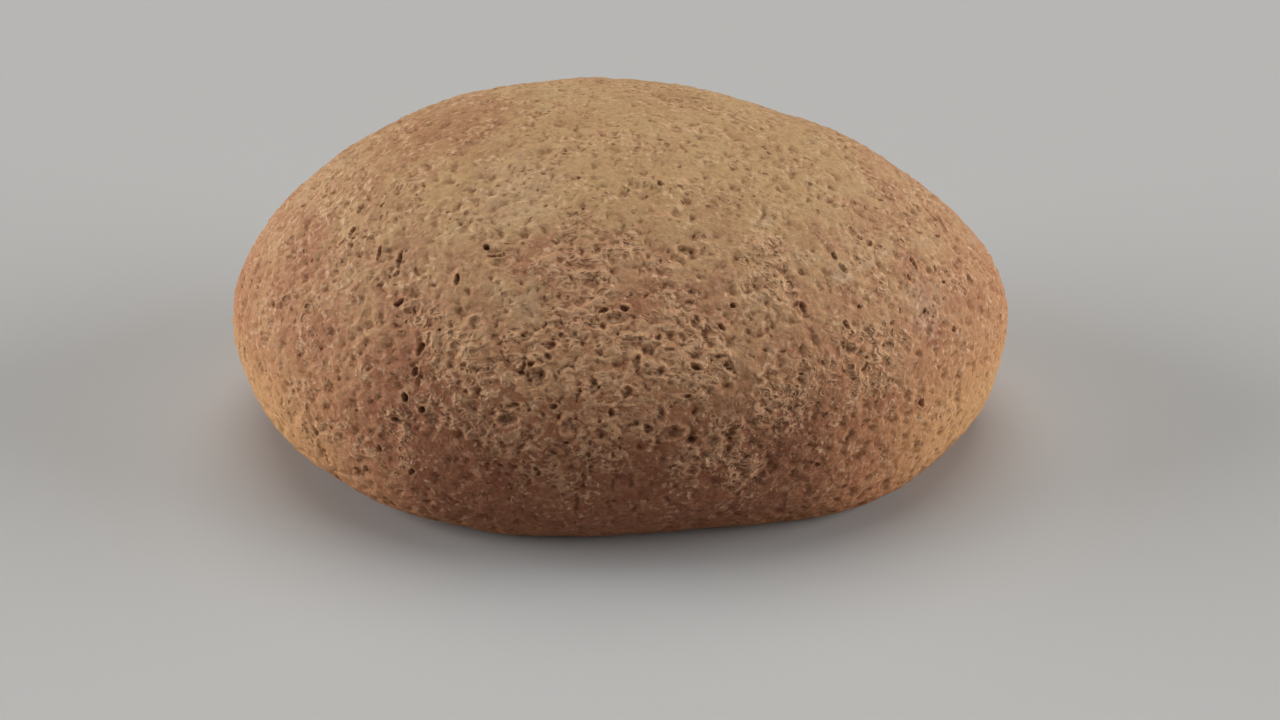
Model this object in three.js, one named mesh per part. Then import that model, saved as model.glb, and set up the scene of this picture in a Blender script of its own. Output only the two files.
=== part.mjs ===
// A wholemeal hearth loaf: one piece of dough, proved in an oval and baked on a flat sheet.
// Millimetres, +Z up. +X runs along the loaf, away from its high, broad end.
// The origin is on the flat underside, at the middle of the loaf's box.

import * as THREE from "three";

// Driving dimensions of the baked loaf
const LENGTH = 260;
const WIDTH = 184;
const DOME_HEIGHT = 112; // midway along, where the crown's slope changes nothing
const GIRTH_HEIGHT = 36; // where the loaf is widest

// The dome's arch from girth to crown: 2 is an ellipse, and more is fuller
const DOME_FULLNESS = 2.1;

// The flat foot that the loaf bakes on, as a share of the girth's oval
const FOOT_SHARE = 0.81;
const FOOT_SPREAD = 0.07; // the foot reaches this much further out at +X, and less at -X

// Proving and baking on a tray leave one end higher and broader than the other
const CROWN_SLOPE = 0.1; // the crown sinks towards +X by this share, and rises towards -X
const CROWN_LEAN = 8; // the crown leans this far towards +X
const TAPER = 0.04; // the loaf narrows towards +X by this share, and broadens towards -X

// Facets of the model
const FACETS_AROUND = 88;
const FACETS_UP = 36; // from the middle of the foot to the crown
const QUARTER_TURN = Math.PI / 2;
const TUCK_TURN = 0.62 * QUARTER_TURN; // the part of the lower quarter that becomes the tuck

// Matte brown crust
const CRUST_COLOUR = 0xa9855f;
const CRUST_ROUGHNESS = 0.9;

const halfLength = LENGTH / 2;
const halfWidth = WIDTH / 2;
const domeRise = DOME_HEIGHT - GIRTH_HEIGHT;

// How far out and how high the dome is, at a turn up from the girth.
function domeOutline(turn) {
  const reach = Math.cos(turn) ** (2 / DOME_FULLNESS);
  const arch = Math.sin(turn) ** (2 / DOME_FULLNESS);
  return { reach, height: GIRTH_HEIGHT + domeRise * arch };
}

// The same at a turn down from the girth: the tuck curls in to the foot, which is flat.
function underOutline(turn, endwards) {
  const foot = FOOT_SHARE + FOOT_SPREAD * endwards;
  if (turn > TUCK_TURN) {
    const share = (QUARTER_TURN - turn) / (QUARTER_TURN - TUCK_TURN);
    return { reach: foot * share, height: 0 };
  }
  const curl = QUARTER_TURN * (1 - turn / TUCK_TURN);
  const reach = foot + (1 - foot) * Math.sin(curl);
  return { reach, height: GIRTH_HEIGHT * (1 - Math.cos(curl)) };
}

// Where a point of a unit ball lies once the ball is shaped into the loaf.
function shapeDough(ball) {
  const aside = Math.hypot(ball.x, ball.y);
  const endwards = aside > 0 ? ball.x / aside : 0;
  const sideways = aside > 0 ? ball.y / aside : 0;
  const turn = Math.atan2(Math.abs(ball.z), aside);
  const { reach, height } = ball.z < 0 ? underOutline(turn, endwards) : domeOutline(turn);
  const along = reach * endwards;
  const across = reach * sideways * (1 - TAPER * along);
  const domeShare = Math.max(0, (height - GIRTH_HEIGHT) / domeRise);
  const slope = 1 - CROWN_SLOPE * along * domeShare;
  return new THREE.Vector3(
    halfLength * along + CROWN_LEAN * domeShare ** 2,
    halfWidth * across,
    height * slope,
  );
}

// One closed skin, from a ball with its poles at the crown and the middle of the foot.
function makeLoaf() {
  const geometry = new THREE.SphereGeometry(1, FACETS_AROUND, FACETS_UP);
  geometry.rotateX(QUARTER_TURN);
  const points = geometry.getAttribute("position");
  for (let i = 0; i < points.count; i += 1) {
    const shaped = shapeDough(new THREE.Vector3().fromBufferAttribute(points, i));
    points.setXYZ(i, shaped.x, shaped.y, shaped.z);
  }
  geometry.computeVertexNormals();
  const crust = new THREE.MeshStandardMaterial({
    color: CRUST_COLOUR,
    roughness: CRUST_ROUGHNESS,
    metalness: 0,
  });
  const loaf = new THREE.Mesh(geometry, crust);
  loaf.name = "wholemeal_loaf";
  return loaf;
}

const bread = new THREE.Group();
bread.add(makeLoaf());

export default bread;
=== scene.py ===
# %% [markdown]
# # A wholemeal hearth loaf
# This lesson finishes one loaf of wholemeal bread that was baked free on a flat tray. The packed
# model holds its true size and plain shape, and everything here is about how it looks: the crust's
# waves, blisters, torn webs and pits, its toasted colours with some painted shade and bounce light,
# and the flat foot it baked on. The frame is loaded first, because the loaf's shape and size come
# from it.

# %% Load the imported loaf
import math
import time

import bmesh
import bpy
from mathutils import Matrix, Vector, kdtree, noise
from mathutils.bvhtree import BVHTree


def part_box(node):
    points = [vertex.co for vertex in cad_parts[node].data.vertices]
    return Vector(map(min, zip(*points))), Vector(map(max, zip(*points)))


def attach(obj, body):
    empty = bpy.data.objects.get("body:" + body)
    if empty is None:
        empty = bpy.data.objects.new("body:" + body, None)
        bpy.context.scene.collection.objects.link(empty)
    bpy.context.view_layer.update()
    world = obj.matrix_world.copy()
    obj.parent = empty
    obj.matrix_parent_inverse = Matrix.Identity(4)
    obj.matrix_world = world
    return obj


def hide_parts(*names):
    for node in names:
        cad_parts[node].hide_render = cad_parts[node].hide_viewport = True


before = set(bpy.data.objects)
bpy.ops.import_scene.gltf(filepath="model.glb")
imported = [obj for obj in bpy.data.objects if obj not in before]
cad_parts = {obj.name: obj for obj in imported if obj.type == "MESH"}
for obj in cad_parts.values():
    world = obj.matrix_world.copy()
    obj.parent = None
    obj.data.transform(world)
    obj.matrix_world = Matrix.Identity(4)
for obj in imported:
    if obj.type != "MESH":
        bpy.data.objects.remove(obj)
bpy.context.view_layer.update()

MM = 0.001
low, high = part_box("wholemeal_loaf")
size = high - low
print("loaf box in mm:", [round(side / MM) for side in size])

# %% [markdown]
# ## The camera
# The loaf is seen from the front and a little above, as somebody standing at a worktop sees it. The
# camera is under a metre away, and a lens of 67 mm lets the loaf fill most of the frame.

# %% Camera
CAMERA_AIM = Vector((7 * MM, 0, 20.3 * MM))
CAMERA_RISE = math.radians(32)
CAMERA_DISTANCE = 0.817
CAMERA_LENS = 67

camera_data = bpy.data.cameras.new("camera")
camera_data.lens = CAMERA_LENS
camera = bpy.data.objects.new("camera", camera_data)
back = Vector((0, -math.cos(CAMERA_RISE), math.sin(CAMERA_RISE)))
camera.location = CAMERA_AIM + back * CAMERA_DISTANCE
camera.rotation_mode = "QUATERNION"
camera.rotation_quaternion = (-back).to_track_quat("-Z", "Y")
bpy.context.scene.collection.objects.link(camera)
bpy.context.scene.camera = camera
bpy.context.scene.view_settings.view_transform = "Standard"
print("camera stands", round(camera.location.length, 3), "m away")

# %% [markdown]
# ## The studio
# Bread is matt, so its shape is read from soft shade. A wide light overhead brightens the top and
# leaves the front in gentle shadow, two low ones from the sides brighten the ends, and a faint sky
# fills. Sun lights are used, because they shine evenly however far the floor goes, and a large angle
# makes them as soft as a big panel. The sky looks pale behind the floor but shines faintly.

# %% Lights and sky
SKY_SHINES = 0.03
SKY_SEEN = 0.62
SKY_TINT = (0.95, 0.97, 1, 1)
LIGHTS = {  # where each shines from, watts per square metre, and how wide it looks in degrees
    "overhead": {"from": (0, 0.35, 1), "strength": 1.38, "wide": 50, "tint": (1, 0.99, 0.97)},
    "left": {"from": (-1, 0, 0.25), "strength": 3.2, "wide": 45, "tint": (0.94, 0.97, 1)},
    "right": {"from": (1, -0.05, 0.25), "strength": 3.0, "wide": 45, "tint": (0.94, 0.97, 1)},
}


def add(tree, kind, links=None, **settings):
    """Adds a node with its settings and its inputs, each a value or a socket. Returns its outputs."""
    node = tree.nodes.new(kind)
    for name, value in settings.items():
        setattr(node, name, value)
    for name, value in (links or {}).items():
        if isinstance(value, bpy.types.NodeSocket):
            tree.links.new(value, node.inputs[name])
        else:
            node.inputs[name].default_value = value
    return node.outputs


for name, light in LIGHTS.items():
    data = bpy.data.lights.new(name, "SUN")
    data.energy = light["strength"]
    data.angle = math.radians(light["wide"])
    data.color = light["tint"]
    shining = bpy.data.objects.new(name, data)
    shining.location = light["from"]
    shining.rotation_mode = "QUATERNION"
    shining.rotation_quaternion = (-shining.location).to_track_quat("-Z", "Y")
    bpy.context.scene.collection.objects.link(shining)

sky = bpy.data.worlds.new("sky")
sky.use_nodes = True
sky_tree = sky.node_tree
seen = add(sky_tree, "ShaderNodeLightPath")["Is Camera Ray"]
seen = add(sky_tree, "ShaderNodeMapRange", {0: seen, "To Min": SKY_SHINES, "To Max": SKY_SEEN})[0]
sky_tree.links.new(seen, sky_tree.nodes["Background"].inputs["Strength"])
sky_tree.nodes["Background"].inputs["Color"].default_value = SKY_TINT
bpy.context.scene.world = sky
print("lights:", {name: light["strength"] for name, light in LIGHTS.items()})

# %% [markdown]
# The floor is a wide sheet of matt, pale paint, wide enough to have no visible edge near the loaf.
# Colours are written as on a paint card, in sRGB hex, and turned to the linear values that light
# needs.

# %% Floor
FLOOR_REACH = 4.0
FLOOR_COLOUR = "#BDBBB8"
FLOOR_ROUGHNESS = 0.8


def linear(hex_colour):
    """An sRGB hex colour as linear red, green and blue."""
    parts = [int(hex_colour[i : i + 2], 16) / 255 for i in (1, 3, 5)]
    return tuple(p / 12.92 if p <= 0.04045 else ((p + 0.055) / 1.055) ** 2.4 for p in parts)


def object_from(bm, name):
    """A new object that holds a bmesh, which is freed."""
    mesh = bpy.data.meshes.new(name)
    bm.to_mesh(mesh)
    bm.free()
    made = bpy.data.objects.new(name, mesh)
    bpy.context.scene.collection.objects.link(made)
    return made


bm = bmesh.new()
bmesh.ops.create_grid(bm, x_segments=1, y_segments=1, size=FLOOR_REACH)
floor = object_from(bm, "floor")
floor_paint = bpy.data.materials.new("matt_floor_paint")
floor_paint.use_nodes = True
floor_shader = floor_paint.node_tree.nodes["Principled BSDF"]
floor_shader.inputs["Base Color"].default_value = (*linear(FLOOR_COLOUR), 1)
floor_shader.inputs["Roughness"].default_value = FLOOR_ROUGHNESS
floor.data.materials.append(floor_paint)
print("floor:", 2 * FLOOR_REACH, "m wide")

# %% [markdown]
# ## The baked shape, rounded
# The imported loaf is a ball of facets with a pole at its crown, which suits measuring but not carving.
# A copy has its loose triangles joined, and is pushed by one to three millimetres, and at one place
# by more than five, where the dough leaned away from the plain shape. Subdivision then rounds it.
# Nobody sees this copy: it is only there to be met by the rays of the next step.

# %% Press and round a copy
MERGE = 0.01 * MM
ROUNDING = 2
PRESSED = (  # the middle, reach and push of each place, in mm
    ((104, 22, 80), (50, 60, 42), (-1.6, 0, -2.2)),
    ((-100, 25, 84), (45, 60, 38), (0.7, 0, -1.0)),
    ((-122, -30, 28), (30, 35, 30), (1.6, 0.8, 0)),
    ((112, -38, 8), (35, 35, 30), (-1.8, 1.2, 0)),
    ((24, -80, 2), (60, 35, 24), (0, 5.5, 0)),
    ((-62, -70, 4), (35, 35, 24), (-0.5, -1.0, 0)),
    ((-129, -8, 43), (22, 38, 32), (-1.0, 0, 0)),
    ((129, -5, 43), (22, 38, 32), (1.2, 0, 0)),
    ((-5, 48, 102), (70, 45, 28), (0, 0.3, 0.9)),
    ((62, 42, 94), (30, 35, 30), (-0.6, 0, -1.0)),
)


def press(bm, at, reach, push):
    """Moves the skin about one place, most at its middle and not at all past its reach."""
    middle = Vector(at) * MM
    for vert in bm.verts:
        away = Vector(gap / (span * MM) for gap, span in zip(vert.co - middle, reach, strict=True))
        if away.length < 1:
            vert.co += Vector(push) * MM * (1 - away.length_squared) ** 2


bm = bmesh.new()
bm.from_mesh(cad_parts["wholemeal_loaf"].data)
bmesh.ops.remove_doubles(bm, verts=bm.verts, dist=MERGE)
for spot in PRESSED:
    press(bm, *spot)
print("joined corners:", len(bm.verts))
rounded = object_from(bm, "rounded_shape")
rounding = rounded.modifiers.new("rounding", "SUBSURF")
rounding.levels = rounding.render_levels = ROUNDING
baked_shape = BVHTree.FromObject(rounded, bpy.context.evaluated_depsgraph_get())
bpy.data.objects.remove(rounded)

# %% [markdown]
# ## An even skin
# The crust needs a fine, even net of small squares. A ball made of rings has poles, where squares
# shrink to slivers. A cube cut into squares and blown up has none, so each of its points is sent
# straight out from the middle of the loaf until it meets the rounded shape.

# %% Stretch a net over the shape
GRID_CUTS = 230
SKIN_CENTRE = Vector((0, 0, 0.4 * size.z))

started = time.perf_counter()
bm = bmesh.new()
bmesh.ops.create_cube(bm, size=2)
bmesh.ops.subdivide_edges(bm, edges=bm.edges, cuts=GRID_CUTS, use_grid_fill=True)
for vert in bm.verts:
    even = Vector(math.tan(part * math.pi / 4) for part in vert.co).normalized()
    ray = Vector(part * side for part, side in zip(even, size, strict=True))
    meets, _, _, _ = baked_shape.ray_cast(SKIN_CENTRE, ray)
    vert.co = meets
bmesh.ops.recalc_face_normals(bm, faces=bm.faces)
for face in bm.faces:
    face.smooth = True
crust = object_from(bm, "crust")
print("skin:", len(crust.data.polygons), "squares in", round(time.perf_counter() - started, 1), "s")

# %% [markdown]
# ## Patterns made once, used twice
# The relief below is a set of patterns made with nodes. The same functions raise the mesh and, later,
# colour it, so that a pit is dark exactly where the mesh is deep. Two helpers come first. One stirs
# the place that a pattern reads, because nothing in dough runs straight. The other squeezes it,
# because the skin was stretched along the loaf, so that what tore is longer that way.

# %% Stir and squeeze a place
MATH = "ShaderNodeMath"
VECTOR_MATH = "ShaderNodeVectorMath"
NOISE = "ShaderNodeTexNoise"
CELLS = "ShaderNodeTexVoronoi"
RANGE = "ShaderNodeMapRange"
SPLIT = "ShaderNodeSeparateXYZ"
SOFT = {"interpolation_type": "SMOOTHSTEP"}


def stirred(tree, place, length, reach):
    """A place pushed aside by slow noise of one wave length, at most about half the reach."""
    stir = add(tree, NOISE, {"Vector": place, "Scale": 1 / length, "Detail": 2.0})["Color"]
    aside = add(tree, VECTOR_MATH, {0: stir, 1: (0.5,) * 3}, operation="SUBTRACT")[0]
    pushed = {0: aside, 1: (reach,) * 3, 2: place}
    return add(tree, VECTOR_MATH, pushed, operation="MULTIPLY_ADD")[0]


def squeezed(tree, place, by):
    """A place in a space squeezed along x, y and z, in which round holes turn into long ones."""
    return add(tree, VECTOR_MATH, {0: place, 1: by}, operation="MULTIPLY")[0]


print("patterns read places in metres: a centimetre is", 10 * MM)

# %% [markdown]
# ## Waves and lumps
# As the dough proves, big bubbles under the skin leave slow waves, and bran and coarse meal leave
# lumps a few millimetres wide with dents between them. Plain noise at three lengths gives all three.

# %% Waves and lumps
WAVES = ({"length": 34 * MM, "rise": 1.3 * MM}, {"length": 9 * MM, "rise": 0.55 * MM})
LUMP = 3.6 * MM
LUMP_RISE = 0.8 * MM
DENT_DEPTH = 0.7 * MM
DENT_EDGE = (0.45, 0.3)


def swelling(tree, place):
    """How far waves and lumps lift the skin, the lumps alone, and the dents between them."""
    lump_noise = {"Vector": place, "Scale": 1 / LUMP, "Detail": 2.0, "Roughness": 0.55}
    lumps = add(tree, NOISE, lump_noise)[0]
    dent = {0: lumps, "From Min": DENT_EDGE[0], "From Max": DENT_EDGE[1]}
    dent = add(tree, RANGE, dent, **SOFT)[0]
    rise = add(tree, RANGE, {0: lumps, "To Min": -LUMP_RISE, "To Max": LUMP_RISE})[0]
    rise = add(tree, MATH, {0: dent, 1: -DENT_DEPTH, 2: rise}, operation="MULTIPLY_ADD")[0]
    for wave in WAVES:
        slow = add(tree, NOISE, {"Vector": place, "Scale": 1 / wave["length"], "Detail": 1.0})[0]
        swell = add(tree, RANGE, {0: slow, "To Min": -wave["rise"], "To Max": wave["rise"]})[0]
        rise = add(tree, MATH, {0: rise, 1: swell}, operation="ADD")[0]
    return rise, lumps, dent


print("waves are", [round(wave["length"] / MM) for wave in WAVES], "mm long")

# %% [markdown]
# ## Where the skin tore
# The front stretched most as the loaf sprang in the oven, and its skin tore open there in one wide,
# ragged zone. Smaller torn patches lie elsewhere. A long oval on the front gives the zone, noise
# makes its edge ragged, and the lowest band, which was held against the tray, stays smooth.

# %% Where the skin tore
TORN_CENTRE = (0, -84 * MM, 66 * MM)
TORN_REACH = (74 * MM, 46 * MM, 40 * MM)
TORN_PATCH = 22 * MM
TORN_RAGGED = 4.0
TORN_EDGE = (-0.85, -1.65)
TORN_SPOTS = {"From Min": 0.47, "From Max": 0.68, "To Min": 0.05, "To Max": 0.45}
TORN_BAND = (15 * MM, 40 * MM)


def torn_share(tree, place):
    """How torn the skin is, from nought to one."""
    aside = add(tree, VECTOR_MATH, {0: place, 1: TORN_CENTRE}, operation="SUBTRACT")[0]
    scaled = add(tree, VECTOR_MATH, {0: aside, 1: TORN_REACH}, operation="DIVIDE")[0]
    far = add(tree, VECTOR_MATH, {0: scaled}, operation="LENGTH")["Value"]
    patch = add(tree, NOISE, {"Vector": place, "Scale": 1 / TORN_PATCH, "Detail": 3.0})[0]
    edge = add(tree, MATH, {0: patch, 1: -TORN_RAGGED, 2: far}, operation="MULTIPLY_ADD")[0]
    front = {0: edge, "From Min": TORN_EDGE[0], "From Max": TORN_EDGE[1]}
    front = add(tree, RANGE, front, **SOFT)[0]
    elsewhere = add(tree, RANGE, {0: patch, **TORN_SPOTS}, **SOFT)[0]
    torn = add(tree, MATH, {0: front, 1: elsewhere}, operation="MAXIMUM")[0]
    height = add(tree, SPLIT, {0: place})[2]
    band = {0: height, "From Min": TORN_BAND[0], "From Max": TORN_BAND[1]}
    above_band = add(tree, RANGE, band, **SOFT)[0]
    return add(tree, MATH, {0: torn, 1: above_band}, operation="MULTIPLY")[0]


print("torn zone:", [round(2 * reach / MM) for reach in TORN_REACH], "mm")

# %% [markdown]
# ## Torn pockets
# Each tear opens a shallow pocket with a pale rim, and thin walls of dried dough stand between
# neighbours. Scattered points with a reach of their own give the bowls, and the borders between the
# points' cells give the walls. The points are drawn in a squeezed space, so that the pockets are
# longer along the loaf. Two sizes mix, because bubbles come in all sizes.

# %% Torn pockets
POCKETS = (
    {"spacing": 4.4 * MM, "least": 0.9 * MM, "most": 2.4 * MM, "share": 0.8, "deep": 0.48 * MM},
    {"spacing": 2.4 * MM, "least": 0.45 * MM, "most": 1.2 * MM, "share": 0.75, "deep": 0.28 * MM},
)
POCKET_OPENS = (0.95, 1.05)
BOWL_EDGE = (1.05, 0.55)
RIM_EDGE = (1.5, 1.15)
WALL_EDGE = (0.39 * MM, 0.12 * MM)
POCKET_STIR = 5 * MM
POCKET_DRIFT = 3.4 * MM
POCKET_SQUEEZE = (0.72, 1, 1.1)


def pocket_layer(tree, place, torn, pockets):
    """The bowls of one size of pocket, and the pale rims and walls about them."""
    spacing = pockets["spacing"]
    points = {"Vector": place, "Scale": 1 / spacing}
    spot = add(tree, CELLS, points)
    border = add(tree, CELLS, points, feature="DISTANCE_TO_EDGE")[0]
    luck = add(tree, SPLIT, {0: spot["Color"]})
    reach = {0: luck[1], "To Min": pockets["least"] / spacing, "To Max": pockets["most"] / spacing}
    reach = add(tree, RANGE, reach)[0]
    near = add(tree, MATH, {0: spot["Distance"], 1: reach}, operation="DIVIDE")[0]
    wall = {0: border, "From Min": WALL_EDGE[0] / spacing, "From Max": WALL_EDGE[1] / spacing}
    wall = add(tree, RANGE, wall, **SOFT)[0]
    chance = add(tree, MATH, {0: torn, 1: pockets["share"], 2: luck[0]}, operation="MULTIPLY_ADD")[0]
    opened = {0: chance, "From Min": POCKET_OPENS[0], "From Max": POCKET_OPENS[1]}
    opened = add(tree, RANGE, opened, **SOFT)[0]
    bowl = {0: near, "From Min": BOWL_EDGE[0], "From Max": BOWL_EDGE[1]}
    bowl = add(tree, RANGE, bowl, **SOFT)[0]
    about = {0: near, "From Min": RIM_EDGE[0], "From Max": RIM_EDGE[1]}
    about = add(tree, RANGE, about, **SOFT)[0]
    bowl = add(tree, MATH, {0: bowl, 1: opened}, operation="MULTIPLY")[0]
    about = add(tree, MATH, {0: about, 1: opened}, operation="MULTIPLY")[0]
    inside = add(tree, MATH, {0: 1.0, 1: wall}, operation="SUBTRACT")[0]
    bowl = add(tree, MATH, {0: bowl, 1: inside}, operation="MULTIPLY")[0]
    return bowl, add(tree, MATH, {0: about, 1: bowl}, operation="SUBTRACT")[0]


def pockets_open(tree, place, torn):
    """How far all pockets sink, their floors and their rims."""
    stirred_place = squeezed(tree, stirred(tree, place, POCKET_STIR, POCKET_DRIFT), POCKET_SQUEEZE)
    sink = floors = rims = 0.0
    for pockets in POCKETS:
        bowl, rim = pocket_layer(tree, stirred_place, torn, pockets)
        sink = add(tree, MATH, {0: bowl, 1: -pockets["deep"], 2: sink}, operation="MULTIPLY_ADD")[0]
        floors = add(tree, MATH, {0: floors, 1: bowl}, operation="MAXIMUM")[0]
        rims = add(tree, MATH, {0: rims, 1: rim}, operation="MAXIMUM")[0]
    return sink, floors, rims


print("pockets reach at most", [round(pockets["most"] / MM, 1) for pockets in POCKETS], "mm")

# %% [markdown]
# ## Dried strands
# Over and between the pockets run short, crooked strands of dough that dried as they stretched. They
# follow the lines where slow noise passes its middle value, and a second noise breaks them up.

# %% Dried strands
STRANDS = ({"length": 3.8 * MM, "half": 0.1}, {"length": 2.3 * MM, "half": 0.12})
STRAND_CREST = 0.2
STRAND_SHADED_GAP = (1.1, 2.0)
STRAND_BREAK = 4.2 * MM
STRAND_WHOLE = (0.43, 0.53)
STRAND_RISE = 0.4 * MM
STRANDS_ELSEWHERE = 0.17
STRAND_SQUEEZE = (0.75, 1, 1.1)


def strands(tree, place, torn):
    """Short crooked ridges and the spaces between them, where painted shade goes, most of them where the
    skin is torn.
    """
    place = squeezed(tree, place, STRAND_SQUEEZE)
    ridges = 0.0
    gap = 1.0
    for layer in STRANDS:
        slow = add(tree, NOISE, {"Vector": place, "Scale": 1 / layer["length"], "Detail": 0.6})[0]
        off = add(tree, MATH, {0: slow, 1: 0.5}, operation="SUBTRACT")[0]
        off = add(tree, MATH, {0: off}, operation="ABSOLUTE")[0]
        line = {0: off, "From Min": layer["half"], "From Max": STRAND_CREST * layer["half"]}
        line = add(tree, RANGE, line, **SOFT)[0]
        ridges = add(tree, MATH, {0: ridges, 1: line}, operation="MAXIMUM")[0]
        # where the spaces between strands start and end; they get painted shade
        start, end = [layer["half"] * times for times in STRAND_SHADED_GAP]
        between = {0: off, "From Min": start, "From Max": end}
        between = add(tree, RANGE, between, **SOFT)[0]
        gap = add(tree, MATH, {0: gap, 1: between}, operation="MINIMUM")[0]
    whole = add(tree, NOISE, {"Vector": place, "Scale": 1 / STRAND_BREAK, "Detail": 1.0})[0]
    whole = {0: whole, "From Min": STRAND_WHOLE[0], "From Max": STRAND_WHOLE[1]}
    whole = add(tree, RANGE, whole, **SOFT)[0]
    ridges = add(tree, MATH, {0: ridges, 1: whole}, operation="MULTIPLY")[0]
    spread = add(tree, RANGE, {0: torn, "To Min": STRANDS_ELSEWHERE})[0]
    ridges = add(tree, MATH, {0: ridges, 1: spread}, operation="MULTIPLY")[0]
    return ridges, add(tree, MATH, {0: gap, 1: spread}, operation="MULTIPLY")[0]


print("strands stand", round(STRAND_RISE / MM, 2), "mm proud")

# %% [markdown]
# ## Pits and slits
# Single bubbles burst all over the loaf. Most are short slits that run along it, because the skin
# was being stretched that way, and they lie in loose groups. They too are scattered points with a
# reach. The points are drawn in a squeezed space, which turns circles into slits, a slow noise
# gathers them, and a fast one makes their edges ragged.

# %% Pits and slits
PITS = (
    {"spacing": 6.5 * MM, "least": 0.4 * MM, "most": 1.0 * MM, "share": 0.6},
    {"spacing": 2.8 * MM, "least": 0.25 * MM, "most": 0.6 * MM, "share": 0.62},
)
SMOOTH_BAND = (7 * MM, 17 * MM)
PIT_GROUP = 15 * MM
PIT_GATHERED = {"From Min": 0.38, "From Max": 0.62, "To Min": 0.15}
PIT_WHERE_TORN = -0.8
PIT_EDGE = (1.15, 0.4)
PIT_RAGGED = 2.4
RAGGED = 1.4 * MM
PIT_DEEP = 0.9
PIT_STIR = 7 * MM
PIT_DRIFT = 5 * MM
PIT_SQUEEZE = (0.5, 0.85, 1)


def pits_open(tree, place, height, torn):
    """How far all pits sink, and the pits themselves."""
    stirred_place = stirred(tree, place, PIT_STIR, PIT_DRIFT)
    ragged = add(tree, NOISE, {"Vector": place, "Scale": 1 / RAGGED, "Detail": 1.0})[0]
    group = add(tree, NOISE, {"Vector": place, "Scale": 1 / PIT_GROUP, "Detail": 2.0})[0]
    gathered = add(tree, RANGE, {0: group, **PIT_GATHERED}, **SOFT)[0]
    band = {0: height, "From Min": SMOOTH_BAND[0], "From Max": SMOOTH_BAND[1]}
    above_band = add(tree, RANGE, band, **SOFT)[0]
    gathered = add(tree, MATH, {0: gathered, 1: above_band}, operation="MULTIPLY")[0]
    untorn = add(tree, MATH, {0: torn, 1: PIT_WHERE_TORN, 2: 1.0}, operation="MULTIPLY_ADD")[0]
    gathered = add(tree, MATH, {0: gathered, 1: untorn}, operation="MULTIPLY")[0]
    sink = pits_all = 0.0
    for pits in PITS:
        points = {"Vector": squeezed(tree, stirred_place, PIT_SQUEEZE), "Scale": 1 / pits["spacing"]}
        spot = add(tree, CELLS, points)
        luck = add(tree, SPLIT, {0: spot["Color"]})
        reach = [pits[end] / pits["spacing"] for end in ("least", "most")]
        reach = add(tree, RANGE, {0: luck[1], "To Min": reach[0], "To Max": reach[1]})[0]
        near = add(tree, MATH, {0: spot["Distance"], 1: reach}, operation="DIVIDE")[0]
        near = add(tree, MATH, {0: ragged, 1: PIT_RAGGED, 2: near}, operation="MULTIPLY_ADD")[0]
        start, end = [edge + PIT_RAGGED / 2 for edge in PIT_EDGE]
        bowl = add(tree, RANGE, {0: near, "From Min": start, "From Max": end}, **SOFT)[0]
        chance = {0: gathered, 1: pits["share"], 2: luck[0]}
        chance = add(tree, MATH, chance, operation="MULTIPLY_ADD")[0]
        opened = add(tree, MATH, {0: chance, 1: 1.0}, operation="GREATER_THAN")[0]
        pit = add(tree, MATH, {0: bowl, 1: opened}, operation="MULTIPLY")[0]
        deep = -PIT_DEEP * pits["most"]
        sink = add(tree, MATH, {0: pit, 1: deep, 2: sink}, operation="MULTIPLY_ADD")[0]
        pits_all = add(tree, MATH, {0: pits_all, 1: pit}, operation="MAXIMUM")[0]
    return sink, pits_all


print("deepest pit:", round(PIT_DEEP * max(pits["most"] for pits in PITS) / MM, 1), "mm")

# %% [markdown]
# ## All patterns at once
# The patterns are put together in one function, because the mesh and the material both call it. What
# sinks or rises is added up, and each pattern's own share is handed on for its colour.

# %% Put the patterns together
def relief(tree, place):
    """Every pattern of the crust at one place."""
    height = add(tree, SPLIT, {0: place})[2]
    rise, lumps, dent = swelling(tree, place)
    torn = torn_share(tree, place)
    pocket_sink, floors, rims = pockets_open(tree, place, torn)
    ridges, shaded_gaps = strands(tree, place, torn)
    pit_sink, pits = pits_open(tree, place, height, torn)
    for part in (pocket_sink, pit_sink):
        rise = add(tree, MATH, {0: rise, 1: part}, operation="ADD")[0]
    rise = add(tree, MATH, {0: ridges, 1: STRAND_RISE, 2: rise}, operation="MULTIPLY_ADD")[0]
    return {
        "rise": rise,
        "height": height,
        "lumps": lumps,
        "dent": dent,
        "torn": torn,
        "floors": floors,
        "rims": rims,
        "ridges": ridges,
        "shaded_gaps": shaded_gaps,
        "pits": pits,
    }


print("one function for", len(WAVES), "waves, lumps, pockets, strands and pits")

# %% [markdown]
# ## Raise the skin
# The patterns push each point along its normal. They run as geometry nodes, which read the same
# patterns as a material does, and are then turned into plain mesh. The foot stays flat, where the
# tray held it, and each point's first place is kept as the attribute "dough", so that the colours
# read the same patterns afterwards.

# %% Raise the skin
FOOT_EDGE = (0.3 * MM, 5 * MM)


def bake_modifiers(piece):
    """Turns a piece's modifiers into plain mesh."""
    depsgraph = bpy.context.evaluated_depsgraph_get()
    finished = bpy.data.meshes.new_from_object(
        piece.evaluated_get(depsgraph), preserve_all_data_layers=True, depsgraph=depsgraph
    )
    piece.modifiers.clear()
    piece.data = finished


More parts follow.
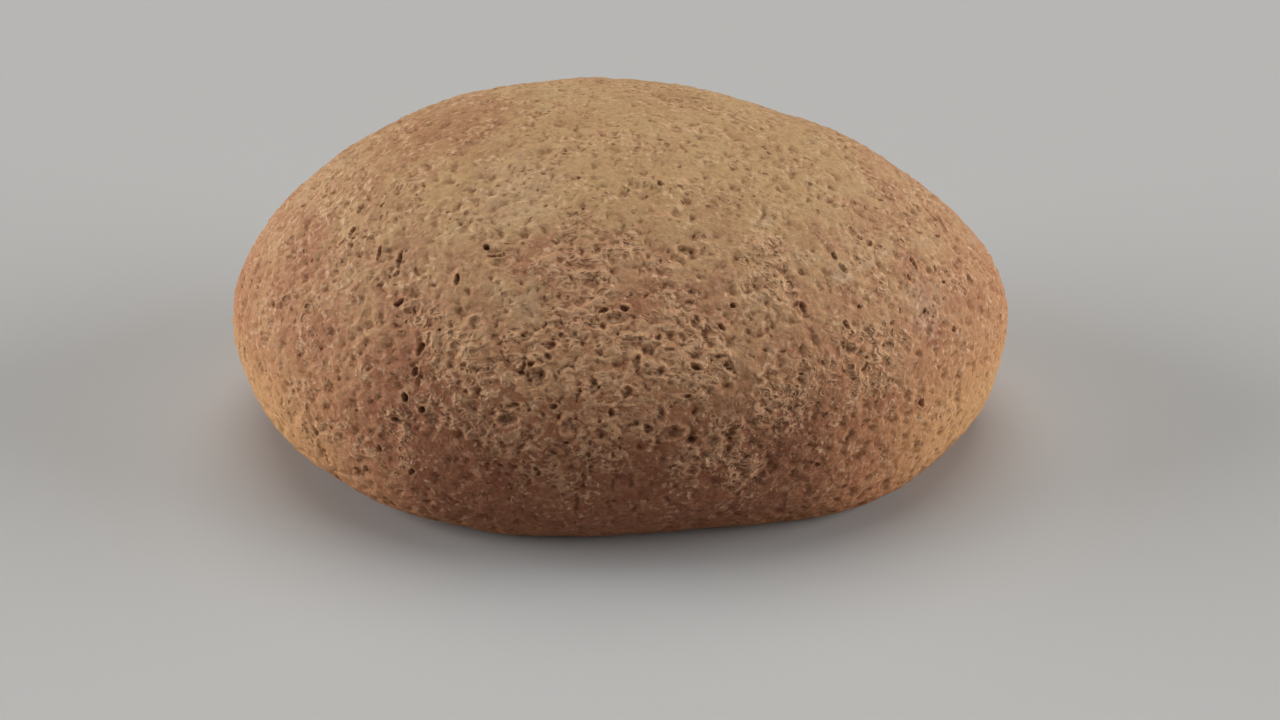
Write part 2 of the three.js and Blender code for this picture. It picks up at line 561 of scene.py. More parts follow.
started = time.perf_counter()
tree = bpy.data.node_groups.new("crust_relief", "GeometryNodeTree")
for way in ("INPUT", "OUTPUT"):
    tree.interface.new_socket("Geometry", in_out=way, socket_type="NodeSocketGeometry")
skin = add(tree, "NodeGroupInput")[0]
place = add(tree, "GeometryNodeInputPosition")[0]
kept = {"Geometry": skin, "Name": "dough", "Value": place}
kept_as = {"data_type": "FLOAT_VECTOR", "domain": "POINT"}
skin = add(tree, "GeometryNodeStoreNamedAttribute", kept, **kept_as)[0]
patterns = relief(tree, place)
foot = {0: patterns["height"], "From Min": FOOT_EDGE[0], "From Max": FOOT_EDGE[1]}
above_foot = add(tree, RANGE, foot, **SOFT)[0]
lift = add(tree, MATH, {0: patterns["rise"], 1: above_foot}, operation="MULTIPLY")[0]
outwards = add(tree, "GeometryNodeInputNormal")[0]
push = add(tree, VECTOR_MATH, {0: outwards, "Scale": lift}, operation="SCALE")[0]
skin = add(tree, "GeometryNodeSetPosition", {"Geometry": skin, "Offset": push})[0]
add(tree, "NodeGroupOutput", {0: skin})
crust.modifiers.new("relief", "NODES").node_group = tree
bake_modifiers(crust)
print("relief:", len(tree.nodes), "nodes, raised in", round(time.perf_counter() - started, 1), "s")

# %% [markdown]
# ## Burst blisters
# A few big bubbles broke through the crust as it set. Small deep ones are dark holes, long ones are
# slits, and wide ones under a thin skin left shallow pockets with a darker floor. A pattern could not
# put them where they are, so they are listed one by one. On the side that the camera sees, nearly all
# their middles, and for some the way they run and their length, come from a separate measuring
# program that cast rays at the imported shape, rounded to a half or a whole millimetre. The rest were
# given.

# %% The blisters
# The last column, how dark, paints shade into the hole, along with some of the floor's own brown.
BLISTERS = (  # the middle, the way it runs, half its length, half its width, depth, how dark; in mm
    # The pair of holes on the brow, and the pocket between them
    ((-4, -73.5, 84), (1, 0, 0), 1.7, 1.2, 1.1, 0.55),
    ((2.5, -73, 84.5), (1, 0, 0), 1.6, 1.2, 1.1, 0.55),
    ((-0.5, -75, 82), (1, 0, 0), 3.8, 2.2, 0.6, 0.25),
    # The cluster of pockets left of the middle, with thin walls between them
    ((-27, -77, 77), (1, 0, 0.1), 2.9, 1.6, 0.6, 0.3),
    ((-17, -78, 78), (1, 0, -0.8), 1.4, 1.1, 0.5, 0.3),
    ((-20, -79.5, 75), (1, 0, 0), 2.4, 1.6, 0.6, 0.3),
    ((-21, -81, 72), (1, 0, -0.4), 1.7, 1.3, 0.6, 0.35),
    ((-25, -84, 66), (1, 0, 0.3), 4.6, 3.5, 0.8, 0.12),
    ((-29, -83, 68), (0.3, 0, 1), 2.8, 1.2, 1.4, 0.4),
    ((-26, -82, 70), (1, 0, 0.5), 1.5, 1.0, 0.9, 0.4),
    ((-7, -86, 64), (0.5, 0, 1), 2.8, 2.2, 0.5, 0.25),
    ((-22, -76, 80), (0.3, 0, 1), 1.6, 0.8, 0.4, 0.2),
    # Pockets and slits right of the middle
    ((24, -74, 80), (0, 0, 1), 2.4, 1.9, 0.6, 0.22),
    ((22, -70, 84.5), (1, 0, 0), 1.6, 1.2, 0.5, 0.2),
    ((32, -74, 78), (0.5, 0, -1), 1.9, 0.9, 0.7, 0.3),
    ((35, -69, 83), (1, 0, 0), 1.2, 1.0, 1.0, 0.5),
    ((6, -83, 71), (0, 0, 1), 2.8, 1.7, 0.6, 0.25),
    ((13, -83, 68), (1, 0, 0), 2.2, 1.9, 0.6, 0.3),
    ((24, -82, 69), (1, 0, -0.4), 2.6, 1.2, 0.7, 0.35),
    ((34, -80, 68), (0, 0, 1), 2.2, 1.7, 0.5, 0.15),
    ((5, -79, 77), (1, 0, 0.1), 3.8, 0.8, 0.4, 0.2),
    ((15, -80, 74), (1, 0, 0), 2.4, 0.8, 0.4, 0.2),
    ((31, -79, 71), (1, 0, 0), 2.8, 0.8, 0.4, 0.15),
    ((3, -87, 63), (1, 0, 0.5), 2.3, 1.9, 0.6, 0.25),
    ((21, -86, 61), (1, 0, 0), 2.6, 0.8, 0.4, 0.2),
    # The lower row: a long oval with a dark slit under it, and fainter ones beside it
    ((16, -89.5, 50), (1, 0, 0.1), 4.8, 2.5, 0.9, 0.3),
    ((22, -89, 47), (1, 0, 0.3), 3.2, 1.1, 1.0, 0.4),
    ((13, -88, 56), (-0.1, 0, 1), 3.0, 1.6, 0.6, 0.3),
    ((34, -87, 48), (1, 0, 0), 3.1, 1.6, 0.6, 0.25),
    ((9, -90, 52), (1, 0, 0), 2.1, 1.7, 0.6, 0.25),
    ((-33, -87.5, 54), (1, 0, 0.2), 3.8, 2.5, 1.1, 0.35),
    ((-32, -87, 58), (1, 0, 0.2), 2.4, 1.0, 0.6, 0.25),
    ((-19, -88, 58.5), (1, 0, 0.3), 1.6, 1.0, 0.6, 0.3),
    ((-15, -89.5, 53), (0.1, 0, 1), 3.1, 2.1, 0.5, 0.15),
    ((-4, -90.5, 51), (1, 0, 0.3), 3.4, 2.9, 0.5, 0.12),
    ((-2, -89, 57), (0, 0, 1), 1.9, 1.3, 0.6, 0.3),
    # The round hole and slit over the torn zone
    ((-40, -55, 95.5), (1, 0, 0), 1.3, 1.2, 1.6, 0.75),
    ((-37, -58, 94), (1, -0.1, 0.1), 3.6, 0.7, 0.9, 0.5),
    ((-36, -60, 92.5), (1, 0, 0), 3.4, 1.9, 0.6, 0.15),
    # Slits on the left shoulder
    ((-74, -47, 89), (-0.2, -0.75, -0.6), 3.2, 0.7, 1.1, 0.5),
    ((-67.5, -51.5, 89), (-0.2, -0.7, -0.6), 3.4, 0.7, 1.1, 0.5),
    ((-80, -23, 97), (1, -1, 0), 1.1, 0.8, 1.0, 0.6),
    ((-81.5, -28, 94.5), (-0.4, -0.8, -0.5), 2.2, 1.0, 1.2, 0.6),
    ((-83.5, -35.5, 90.5), (-0.7, -0.4, -0.6), 2.0, 0.9, 1.2, 0.6),
    ((-83.5, -40, 88), (0, -0.7, -0.7), 1.5, 1.3, 1.1, 0.4),
    ((-49, -62.5, 87.5), (-0.2, -0.7, -0.7), 2.4, 0.9, 1.2, 0.6),
    ((-67, -62.5, 80), (-0.9, -0.2, -0.5), 2.4, 0.9, 1.2, 0.6),
    # The stretched slits and pits on the right
    ((106.5, -8, 79), (0.4, -0.8, -0.4), 5.0, 0.7, 1.2, 0.7),
    ((94, -36, 79), (0.5, -0.8, -0.6), 2.8, 0.9, 1.2, 0.6),
    ((90.5, -30, 84), (0.8, -0.5, -0.5), 1.6, 0.7, 0.9, 0.5),
    ((101, -33, 75), (0.1, -0.8, -0.6), 1.7, 0.6, 0.9, 0.5),
    ((67.5, -47, 88), (0.5, -0.8, -0.6), 2.0, 0.9, 1.0, 0.6),
    ((92, -42, 77), (0.5, -0.7, -0.6), 2.0, 0.8, 0.8, 0.3),
    ((76.5, -37, 89), (0.7, -0.6, -0.4), 1.2, 0.9, 0.9, 0.5),
    ((97, -47, 68), (0.3, -0.7, -0.7), 1.0, 0.8, 1.0, 0.6),
    ((107, -43.5, 59), (0.3, -0.6, -0.8), 1.4, 0.8, 0.9, 0.4),
    ((96, -60, 42), (0.4, 0.3, -0.9), 1.8, 1.3, 1.5, 0.6),
    ((70.5, -63, 72.5), (0.6, -0.3, -0.6), 2.0, 1.0, 1.0, 0.5),
    ((57, -64, 79), (0.3, -0.5, -0.8), 2.2, 1.1, 1.0, 0.4),
    ((70, -49.5, 85), (-0.5, 0.2, 0.4), 2.4, 1.2, 0.9, 0.4),
    # Holes in the red patch low on the left, and creases at that end
    ((-65, -78, 55.5), (0, 0, 1), 1.7, 1.2, 1.5, 0.7),
    ((-60, -81, 53), (0.2, 0, 1), 1.5, 1.2, 1.5, 0.7),
    ((-68, -79, 47.5), (1, 0, -0.3), 2.2, 1.0, 1.1, 0.5),
    ((-62, -76, 63.5), (0.3, 0.3, 1), 2.0, 1.1, 1.2, 0.5),
    ((-60, -73, 70), (0.4, 0.4, 1), 2.6, 1.1, 1.1, 0.5),
    ((-64, -81, 30), (0.4, 0, 1), 1.8, 1.2, 1.2, 0.6),
    ((-79.5, -73, 25.5), (0.3, 0, 1), 2.0, 0.9, 1.0, 0.4),
    ((-83, -70.5, 23), (-0.6, 0, 1), 2.0, 0.9, 0.9, 0.4),
    ((-74, -77, 35.5), (-0.6, 0, 1), 1.4, 0.8, 0.9, 0.5),
    ((-99.5, -60.5, 33), (0.4, -0.3, -1), 2.0, 0.7, 0.9, 0.4),
    ((-96, -63.5, 33), (0.4, -0.3, -1), 1.8, 0.7, 0.9, 0.4),
    ((-98, -61, 27.5), (0.4, -0.3, -1), 3.0, 0.6, 0.8, 0.3),
    ((-95, -63, 25.5), (0.4, -0.2, -1), 2.6, 0.6, 0.8, 0.3),
    ((-94, -62, 20.5), (0.4, -0.1, -1), 2.4, 0.6, 0.7, 0.2),
    # A few on the crown
    ((20.5, -56.5, 95.5), (1, 0, -0.2), 3.4, 1.8, 0.7, 0.2),
    ((13, -35, 106), (0.4, -1, 0), 1.6, 0.9, 1.0, 0.6),
    ((-12.5, 24, 110.5), (1, 0, 0), 1.4, 0.7, 0.8, 0.5),
    ((-20, -5, 112.5), (1, 0.6, 0), 1.5, 0.7, 0.8, 0.5),
    ((-12, -33, 108), (1, 0.3, 0), 1.1, 0.7, 0.8, 0.5),
    ((19.5, -26, 108), (0.4, 1, 0), 1.3, 0.9, 0.7, 0.3),
    # The hidden side has its own
    ((-38, 70, 84), (1, 0, 0.3), 2.6, 1.6, 1.6, 0.6),
    ((-31, 74, 79), (1, 0, 0), 4.2, 2.0, 0.9, 0.2),
    ((24, 78, 77), (1, 0, -0.4), 3.0, 0.8, 1.1, 0.5),
    ((58, 66, 72), (0.7, 0, -0.6), 2.2, 1.5, 1.4, 0.6),
    ((8, 84, 60), (1, 0, 0.1), 4.4, 2.2, 1.2, 0.3),
    ((-72, 66, 66), (0.5, 0.4, -0.8), 2.6, 0.9, 1.2, 0.6),
    ((-95, 38, 78), (0.4, 0.6, -0.7), 2.2, 1.0, 1.1, 0.6),
    ((84, 52, 62), (0.3, 0.5, -0.8), 2.4, 1.1, 1.1, 0.5),
    ((-20, 87, 48), (1, 0, 0), 2.4, 1.3, 1.2, 0.5),
)
print("blisters:", len(BLISTERS))

# %% [markdown]
# The net is cut once more around each blister, so that its wall can be steep. Each point near it is
# then pushed in by a bowl with a flat floor and lifted a little at the lip. Its share of dark colour,
# painted shade in the hole with some of the floor's own brown, is kept as the attribute "burst", and
# the share of the lip's pale colour as "rim".

# %% Burst them
BOWL_WALL = (0.5, 1)
LIP_STARTS = (0.8, 1.05)
LIP_ENDS = (1.1, 1.4)
LIP_RISE = 0.3
RIM_RAGGED = 0.25
RIM_NOISE = 1.5 * MM
NEARBY = 1.6
LIP_PALE = 0.9


def smooth_step(value, start, end):
    """Nought at start, one at end, and a soft S between."""
    share = min(1, max(0, (value - start) / (end - start)))
    return share * share * (3 - 2 * share)


def finder_of(bm):
    """A tree that finds the bmesh's points near a place."""
    finder = kdtree.KDTree(len(bm.verts))
    for index, vert in enumerate(bm.verts):
        finder.insert(vert.co, index)
    finder.balance()
    bm.verts.ensure_lookup_table()
    return finder


def burst_blister(bm, finder, layers, at, way, half_length, half_width, deep, dark):
    """Pushes one blister in and lifts its lip."""
    middle, _, _ = finder.find(Vector(at) * MM)
    found = [bm.verts[index] for _, index, _ in finder.find_range(middle, half_length * NEARBY * MM)]
    outward = sum((vert.normal for vert in found), Vector()).normalized()
    along = (Vector(way) - outward * outward.dot(Vector(way))).normalized()
    across = outward.cross(along)
    for vert in found:
        gap = (vert.co - middle) / MM
        ring = math.hypot(gap.dot(along) / half_length, gap.dot(across) / half_width)
        ring += RIM_RAGGED * noise.noise(vert.co / RIM_NOISE)
        bowl = 1 - smooth_step(ring, *BOWL_WALL)
        lip = smooth_step(ring, *LIP_STARTS) * (1 - smooth_step(ring, *LIP_ENDS))
        vert.co += outward * MM * (LIP_RISE * lip - deep * bowl)
        burst, rim = layers
        # dark colour in the hole: painted shade, with some of the floor's own brown
        vert[burst] = max(vert[burst], dark * bowl)
        vert[rim] = max(vert[rim], LIP_PALE * (1 - dark) * lip)


started = time.perf_counter()
bm = bmesh.new()
bm.from_mesh(crust.data)
layers = [bm.verts.layers.float.new(name) for name in ("burst", "rim")]
finder = finder_of(bm)
near = set()
for at, _, half_length, *_ in BLISTERS:
    found = finder.find_range(Vector(at) * MM, half_length * NEARBY * MM)
    near.update(bm.verts[index] for _, index, _ in found)
edges = list({edge: None for vert in sorted(near, key=lambda v: v.index) for edge in vert.link_edges})
bmesh.ops.subdivide_edges(bm, edges=edges, cuts=1, use_grid_fill=True)
finder = finder_of(bm)
bm.normal_update()
for blister in BLISTERS:
    burst_blister(bm, finder, layers, *blister)
bm.to_mesh(crust.data)
bm.free()
print("burst", len(BLISTERS), "blisters in", round(time.perf_counter() - started, 1), "s")

# %% [markdown]
# ## Fewer, better placed triangles
# The net is finer than a piece should be. Collapsing its edges keeps small triangles at rims and
# pits, where they are needed, and lets them grow on smooth skin and on the flat foot.

# %% Thin the net
MOST_TRIANGLES = 196000

started = time.perf_counter()
triangles = sum(len(face.vertices) - 2 for face in crust.data.polygons)
if triangles > MOST_TRIANGLES:
    thinning = crust.modifiers.new("thinning", "DECIMATE")
    thinning.ratio = MOST_TRIANGLES / triangles
    thinning.use_collapse_triangulate = True
    bake_modifiers(crust)
thinned_in = round(time.perf_counter() - started, 1)
print("crust:", len(crust.data.polygons), "faces, thinned in", thinned_in, "s")

# %% [markdown]
# ## A map for baked pictures
# The nodes need no map, but a game or a web page does: its colours are baked into a picture that is
# wrapped round the loaf. The side and top unroll into one disc, as a skin seen from straight above
# and spread out, and the flat foot is a small disc in the corner.

# %% Unroll the crust
FOOT_TOP = 0.35 * MM
DOME_DISC = {"centre": (0.456, 0.456), "radius": 0.45}
FOOT_DISC = {"centre": (0.875, 0.875), "radius": 0.115}
NEVER_NOUGHT = 1e-9  # so that the very crown divides by something


def dome_spot(place):
    """Where a place on the top or side lands in the map."""
    scaled = Vector((2 * place.x / size.x, 2 * place.y / size.y, place.z / size.z))
    out = math.hypot(scaled.x, scaled.y)
    tilt = math.atan2(out, max(scaled.z, 0)) / (math.pi / 2)
    reach = DOME_DISC["radius"] * tilt / max(out, NEVER_NOUGHT)
    return DOME_DISC["centre"][0] + reach * scaled.x, DOME_DISC["centre"][1] + reach * scaled.y


def foot_spot(place):
    """Where a place on the flat foot lands in the map, seen from below."""
    scaled = Vector((2 * place.x / size.x, 2 * place.y / size.y))
    centre = FOOT_DISC["centre"]
    return centre[0] - FOOT_DISC["radius"] * scaled.x, centre[1] + FOOT_DISC["radius"] * scaled.y


unrolled = crust.data.uv_layers.new(name="OFBake")
foot_faces = 0
for face in crust.data.polygons:
    corners = [crust.data.vertices[index].co for index in face.vertices]
    flat = max(corner.z for corner in corners) < FOOT_TOP
    foot_faces += flat
    for loop, corner in zip(face.loop_indices, corners, strict=True):
        unrolled.data[loop].uv = foot_spot(corner) if flat else dome_spot(corner)
print("unrolled:", len(crust.data.polygons) - foot_faces, "faces of dome,", foot_faces, "of foot")

# %% [markdown]
# ## The crust's colours
# Baked wholemeal crust is a matt, dry skin of starch and bran. It gives the eye almost no gloss, only
# warm colour: golden where it is driest and most even, rosy to russet where sugars browned, and ashy
# where flour stuck. First the wide patches, from noise that is stirred so that they curl.

# %% Toasted patches
ASH = "#B99976"
GOLD = "#BB9469"
ROSE = "#B18460"
RUSSET = "#956548"
TOAST = ((0.34, ASH), (0.43, GOLD), (0.55, ROSE), (0.68, RUSSET))
TOAST_PATCH = 15 * MM
TOAST_STIR = 7 * MM
TOAST_DRIFT = 6 * MM


def toasted(tree, place):
    """The colour of the crust's wide patches."""
    stirred_place = stirred(tree, place, TOAST_STIR, TOAST_DRIFT)
    patch = {"Vector": stirred_place, "Scale": 1 / TOAST_PATCH, "Detail": 5.0, "Roughness": 0.72}
    toast = add(tree, NOISE, patch)[0]
    colour = add(tree, "ShaderNodeValToRGB", {0: toast})["Color"]
    stops = colour.node.color_ramp.elements
    stops.remove(stops[0])
    stops[0].position = TOAST[0][0]
    stops[0].color = (*linear(TOAST[0][1]), 1)
    for position, shade in TOAST[1:]:
        stops.new(position).color = (*linear(shade), 1)
    return colour


print("toast runs from", TOAST[0][1], "to", TOAST[-1][1], "in patches of", round(TOAST_PATCH / MM), "mm")

# %% [markdown]
# ## Heat from the tray, with painted shade and bounce light
# Low down the crust is redder: partly real browning, partly painted warm bounce light. Along the two
# long sides, which curl under close to the hot tray, it is dark brown, most in the middle of the
# loaf's length: partly real browning, partly painted shade. The low ends are painted golden, as bounce
# light from below. The smooth band at the very bottom is orange-brown, and the crown, which dried
# first, is golden again. Each grows between two heights, and some between two widths or lengths as
# well. A list of shares and colours says what is laid over what. The darkest share is handed on too,
# because its scorch and painted shade darken even the pale strands.

# %% Heat, with painted shade and bounce light
CROWN_GOLD = "#BE9C68"
# painted bounce light: the low ends are coloured golden as if lit from below
PAINTED_BOUNCE_GOLD = "#D29D66"
# real browning, with painted warm bounce light in the lower crust
RED_BROWN_AND_BOUNCE = "#B46C42"
# dark brown of the low long sides: partly real browning, partly painted shade
BROWNED_AND_SHADED = "#744029"
BAND_BROWN = "#A56A40"
FOOT_BROWN = "#8A5E3E"
ENDS = (78 * MM, 112 * MM)
LONG_SIDES = (52 * MM, 84 * MM)
# the painted shade and browning are strongest in the middle of the loaf's length
SHADED_AND_BROWNED_SPAN = (84 * MM, 50 * MM)
SHADED_AND_BROWNED_SPAN_LEAST = 0.15
# the "red" share carries painted warm bounce light, "dark" painted shade and "end" painted bounce light
HEAT = {  # between which heights, and the most it reaches
    "crown": {"from": 84 * MM, "to": 108 * MM, "most": 0.5},
    "red": {"from": 106 * MM, "to": 32 * MM, "most": 0.6},
    "dark": {"from": 78 * MM, "to": 34 * MM, "most": 0.85},
    "end": {"from": 62 * MM, "to": 24 * MM, "most": 0.85},
    "band": {"from": 15 * MM, "to": 5 * MM, "most": 0.65},
    "foot": {"from": 1.5 * MM, "to": 0.2 * MM, "most": 0.8},
}


def heat_layers(tree, place):
    """Shares and colours for where the crust baked more or less, with painted shade and bounce light,
    and the share of the darkest.
    """
    along, aside, height = add(tree, SPLIT, {0: place}).values()
    share = {}
    for name, heat in HEAT.items():
        between = {0: height, "From Min": heat["from"], "From Max": heat["to"], "To Max": heat["most"]}
        share[name] = add(tree, RANGE, between, **SOFT)[0]
    far_along = add(tree, MATH, {0: along}, operation="ABSOLUTE")[0]
    ends = add(tree, RANGE, {0: far_along, "From Min": ENDS[0], "From Max": ENDS[1]}, **SOFT)[0]
    far_aside = add(tree, MATH, {0: aside}, operation="ABSOLUTE")[0]
    sides = {0: far_aside, "From Min": LONG_SIDES[0], "From Max": LONG_SIDES[1]}
    sides = add(tree, RANGE, sides, **SOFT)[0]
    middle = {0: far_along, "From Min": SHADED_AND_BROWNED_SPAN[0], "From Max": SHADED_AND_BROWNED_SPAN[1], "To Min": SHADED_AND_BROWNED_SPAN_LEAST}
    middle = add(tree, RANGE, middle, **SOFT)[0]
    # the dark share: real browning and painted shade together
    dark = add(tree, MATH, {0: share["dark"], 1: sides}, operation="MULTIPLY")[0]
    dark = add(tree, MATH, {0: dark, 1: middle}, operation="MULTIPLY")[0]
    # painted bounce light on the low ends
    painted_bounce_share = add(tree, MATH, {0: share["end"], 1: ends}, operation="MULTIPLY")[0]
    layers = [
        (share["crown"], CROWN_GOLD),
        (share["red"], RED_BROWN_AND_BOUNCE),
        (dark, BROWNED_AND_SHADED),
        (painted_bounce_share, PAINTED_BOUNCE_GOLD),
        (share["band"], BAND_BROWN),
        (share["foot"], FOOT_BROWN),
    ]
    return layers, dark


print("heat makes", len(HEAT), "layers of colour")

# %% [markdown]
# ## Marks of one loaf
# No two loaves toast alike. These few patches are this one's own: where it browned redder, and where
# flour from the cloth stuck. Each fades out from its middle, with a ragged edge. Five of the middles
# were measured in the same way as the blisters', and the others were given.

# %% Marks
FLOUR = "#CFB193"
FLUSH = "#9C5F42"
MARKS = (  # the middle and reach in mm, the colour and the most it covers
    ((-101, -30, 80), 17, FLUSH, 0.55),
    ((-23, -61, 94), 12, FLUSH, 0.6),
    ((-62, -80, 44), 27, FLUSH, 0.6),
    ((-66, -76, 60), 22, FLUSH, 0.45),
    ((-58, 5, 107), 40, FLUSH, 0.5),
    ((-92, -44, 62), 22, FLUSH, 0.3),
    ((-2, -66, 90), 28, FLUSH, 0.4),
    ((70, -51, 84), 5, FLOUR, 0.6),
    ((97, -46, 69), 11, FLOUR, 0.3),
    ((-30, -38, 104), 20, FLOUR, 0.2),
    ((46, 60, 84), 22, FLUSH, 0.5),
    ((-60, 58, 84), 18, FLOUR, 0.2),
    ((-20, 82, 52), 30, FLUSH, 0.4),
)
MARK_CORE = 0.35
MARK_NOISE = 4 * MM
MARK_RAGGED = 1.2


def mark_layers(tree, place):
    """Shares and colours for the marks."""
    ragged = {"Vector": place, "Scale": 1 / MARK_NOISE, "Detail": 4.0, "Roughness": 0.7}
    ragged = add(tree, NOISE, ragged)[0]
    layers = []
    for at, reach, colour, most in MARKS:
        middle = tuple(part * MM for part in at)
        far = add(tree, VECTOR_MATH, {0: place, 1: middle}, operation="DISTANCE")["Value"]
        far = add(tree, MATH, {0: far, 1: reach * MM}, operation="DIVIDE")[0]
        far = add(tree, MATH, {0: ragged, 1: -2 * MARK_RAGGED, 2: far}, operation="MULTIPLY_ADD")[0]
        fade = {"From Min": 1 - MARK_RAGGED, "From Max": MARK_CORE - MARK_RAGGED, "To Max": most}
        layers.append((add(tree, RANGE, {0: far, **fade}, **SOFT)[0], colour))
    return layers


print("marks:", len(MARKS))

# %% [markdown]
# ## Meal and bran
# The skin is full of grains: fine meal, and flakes of bran about a millimetre wide, pale where they
# stand proud and dark where they scorched. Noise at their size gives ragged specks if only its
# highest and lowest values count, and a slower noise gathers them.

# %% Meal and bran
MEAL = 1.2 * MM
BRAN = 1.7 * MM
BRAN_GROUP = 11 * MM
MEAL_PALE = "#D9B48C"
MEAL_DARK = "#8A5B3C"
BRAN_PALE = "#D9B28D"
BRAN_DARK = "#7A4C31"
MEAL_SHOWS = 0.18
MEAL_DARK_EDGE = (0.48, 0.3)
MEAL_PALE_EDGE = (0.54, 0.72)
BRAN_DARK_EDGE = (0.43, 0.28)
BRAN_PALE_EDGE = (0.56, 0.7)
BRAN_GATHERED = {"From Min": 0.4, "From Max": 0.62, "To Min": 0.2, "To Max": 0.8}
BRAN_WHERE_TORN = 0.12
BARE_BAND = (3 * MM, 34 * MM)
BARE_LEAST = 0.3


def meal_layers(tree, place, torn):
    """Shares and colours for meal and bran, and the noise of each for their relief."""
    meal = add(tree, NOISE, {"Vector": place, "Scale": 1 / MEAL, "Detail": 1.0})[0]
    start, end = MEAL_DARK_EDGE
    meal_dark = {0: meal, "From Min": start, "From Max": end, "To Max": MEAL_SHOWS}
    meal_dark = add(tree, RANGE, meal_dark, **SOFT)[0]
    start, end = MEAL_PALE_EDGE
    meal_pale = {0: meal, "From Min": start, "From Max": end, "To Max": MEAL_SHOWS}
    meal_pale = add(tree, RANGE, meal_pale, **SOFT)[0]
    bran = add(tree, NOISE, {"Vector": place, "Scale": 1 / BRAN, "Detail": 1.0})[0]
    group = add(tree, NOISE, {"Vector": place, "Scale": 1 / BRAN_GROUP, "Detail": 2.0})[0]
    group = {0: torn, 1: BRAN_WHERE_TORN, 2: group}
    group = add(tree, MATH, group, operation="MULTIPLY_ADD")[0]
    gathered = add(tree, RANGE, {0: group, **BRAN_GATHERED}, **SOFT)[0]
    height = add(tree, SPLIT, {0: place})[2]
    bare = {0: height, "From Min": BARE_BAND[0], "From Max": BARE_BAND[1], "To Min": BARE_LEAST}
    bare = add(tree, RANGE, bare, **SOFT)[0]
    gathered = add(tree, MATH, {0: gathered, 1: bare}, operation="MULTIPLY")[0]
    start, end = BRAN_PALE_EDGE
    bran_pale = add(tree, RANGE, {0: bran, "From Min": start, "From Max": end}, **SOFT)[0]
    bran_pale = add(tree, MATH, {0: bran_pale, 1: gathered}, operation="MULTIPLY")[0]
    start, end = BRAN_DARK_EDGE
    bran_dark = add(tree, RANGE, {0: bran, "From Min": start, "From Max": end}, **SOFT)[0]
    bran_dark = add(tree, MATH, {0: bran_dark, 1: gathered}, operation="MULTIPLY")[0]
    layers = [
        (meal_dark, MEAL_DARK),
        (meal_pale, MEAL_PALE),
        (bran_dark, BRAN_DARK),
        (bran_pale, BRAN_PALE),
    ]
    return layers, meal, bran


print("grains:", round(MEAL / MM, 1), "mm meal and", round(BRAN / MM, 1), "mm bran")

# %% [markdown]
# ## The crust, put together
# Baked crust has the IOR of dry starch, about 1.4, and is rough all over, so its roughness is one
# value. Its colours are laid over each other in a loop: heat and marks first, with painted shade low on
# the long sides and painted bounce light on the ends, then hollows in painted shade and grains, then
# what the tears, pits and blisters opened, with painted shade in gaps, pits and holes. Relief too fine
# for the net, which is under a millimetre, is left to a bump whose heights are real: meal, bran,
# strands, and edges of pits.

# %% Crust material
CRUST_IOR = 1.4
CRUST_ROUGHNESS = 0.82
# painted shade: the dents between lumps are coloured darker, as the shade in them
DENT_SHADE_BROWN = "#8E6040"
# painted shade between the strands
GAP_SHADE_BROWN = "#7A4832"
FLOOR_BROWN = "#8A5F45"
RIM_PALE = "#CF9C72"
STRAND_PALE = "#D3A77F"
# dark brown in pits: painted shade, with some of the burst skin's own brown
PIT_BROWN_AND_SHADE = "#69412B"
# brown of blister holes: painted shade, with some of the floor's own brown
HOLE_BROWN_AND_SHADE = "#694A36"
# share of the dark heat layer laid again over the strands: scorch and painted shade together
SCORCH_AND_SHADE = 0.35
# the shares for dents, gaps and pits lay painted shade in those hollows
SHARES = {"dent": 0.36, "shaded_gaps": 0.33, "floors": 0.34, "rims": 0.5, "ridges": 0.58, "pits": 0.55}
BUMP = {  # heights in mm
    "lumps": 0.35,
    "ridges": 0.3,
    "rims": 0.2,
    "floors": -0.2,
    "pits": -0.3,
}
MEAL_BUMP = 0.12 * MM
BRAN_BUMP = 0.35 * MM


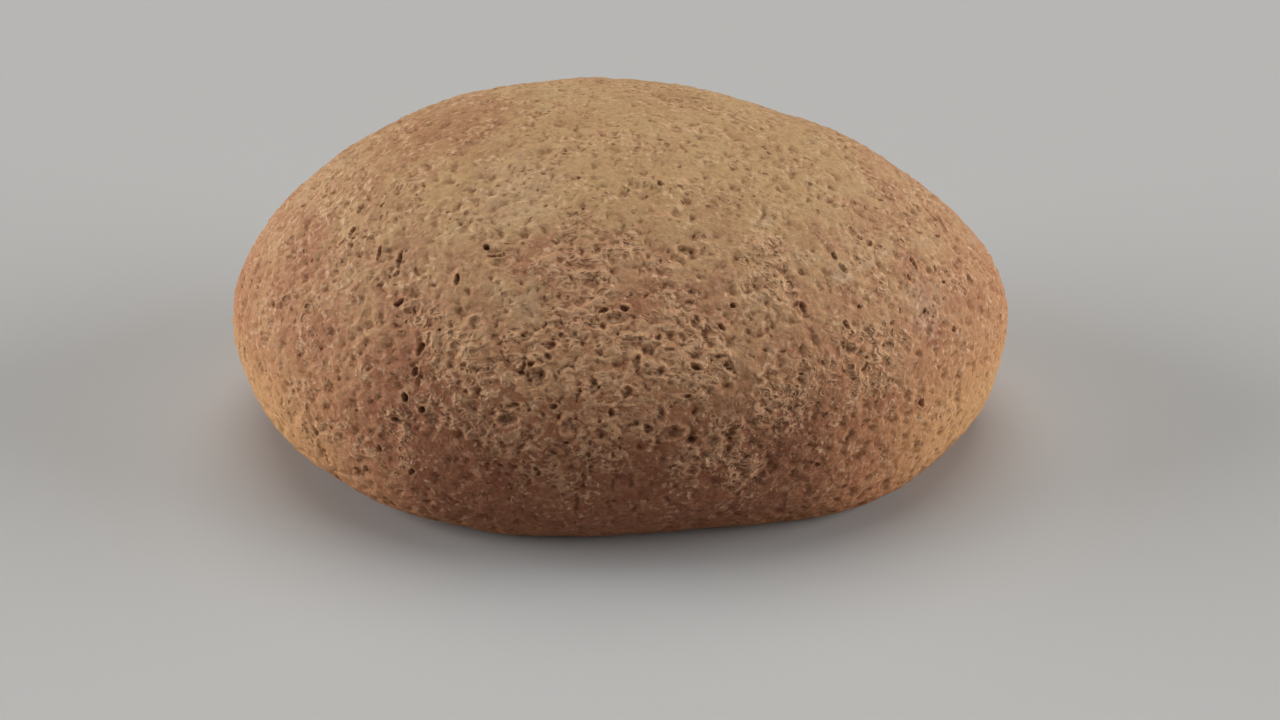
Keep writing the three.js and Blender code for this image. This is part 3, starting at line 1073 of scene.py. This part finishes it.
def crust_material():
    """Baked wholemeal crust."""
    paint = bpy.data.materials.new("baked_wholemeal_crust")
    paint.use_nodes = True
    tree = paint.node_tree
    shader = tree.nodes["Principled BSDF"]
    shader.inputs["IOR"].default_value = CRUST_IOR
    shader.inputs["Roughness"].default_value = CRUST_ROUGHNESS
    place = add(tree, "ShaderNodeAttribute", attribute_name="dough")["Vector"]
    burst = add(tree, "ShaderNodeAttribute", attribute_name="burst")["Fac"]
    lip = add(tree, "ShaderNodeAttribute", attribute_name="rim")["Fac"]
    patterns = relief(tree, place)
    meal_colours, meal, bran = meal_layers(tree, place, patterns["torn"])

    share = {}
    for name, most in SHARES.items():
        share[name] = add(tree, MATH, {0: patterns[name], 1: most}, operation="MULTIPLY")[0]
    layers, dark = heat_layers(tree, place)
    # painted shade with scorch, laid over the strands as well
    scorch_and_shade = add(tree, MATH, {0: dark, 1: SCORCH_AND_SHADE}, operation="MULTIPLY")[0]
    layers += mark_layers(tree, place)
    # painted shade in the dents, then meal and bran
    layers += [(share["dent"], DENT_SHADE_BROWN)] + meal_colours
    layers += [(share["shaded_gaps"], GAP_SHADE_BROWN), (share["floors"], FLOOR_BROWN), (share["rims"], RIM_PALE)]
    layers += [(share["ridges"], STRAND_PALE), (lip, RIM_PALE), (scorch_and_shade, BROWNED_AND_SHADED)]
    # painted shade, with the hollows' own brown, in pits and blister holes
    layers += [(share["pits"], PIT_BROWN_AND_SHADE), (burst, HOLE_BROWN_AND_SHADE)]
    colour = toasted(tree, place)
    for most, over in layers:
        laid = {0: most, 6: colour, 7: (*linear(over), 1)}
        colour = add(tree, "ShaderNodeMix", laid, data_type="RGBA")[2]
    tree.links.new(colour, shader.inputs["Base Color"])

    fine = add(tree, MATH, {0: meal, 1: MEAL_BUMP}, operation="MULTIPLY")[0]
    fine = add(tree, MATH, {0: bran, 1: BRAN_BUMP, 2: fine}, operation="MULTIPLY_ADD")[0]
    for name, rise in BUMP.items():
        fine = add(tree, MATH, {0: patterns[name], 1: rise * MM, 2: fine}, operation="MULTIPLY_ADD")[0]
    bumped = add(tree, "ShaderNodeBump", {"Height": fine, "Distance": 1.0, "Strength": 1.0})[0]
    tree.links.new(bumped, shader.inputs["Normal"])
    print("crust material:", len(tree.nodes), "nodes,", len(layers), "layers of colour")
    return paint


crust.data.materials.clear()
crust.data.materials.append(crust_material())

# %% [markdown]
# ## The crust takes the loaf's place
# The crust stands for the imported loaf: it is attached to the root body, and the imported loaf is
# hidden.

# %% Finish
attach(crust, "root")
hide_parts("wholemeal_loaf")
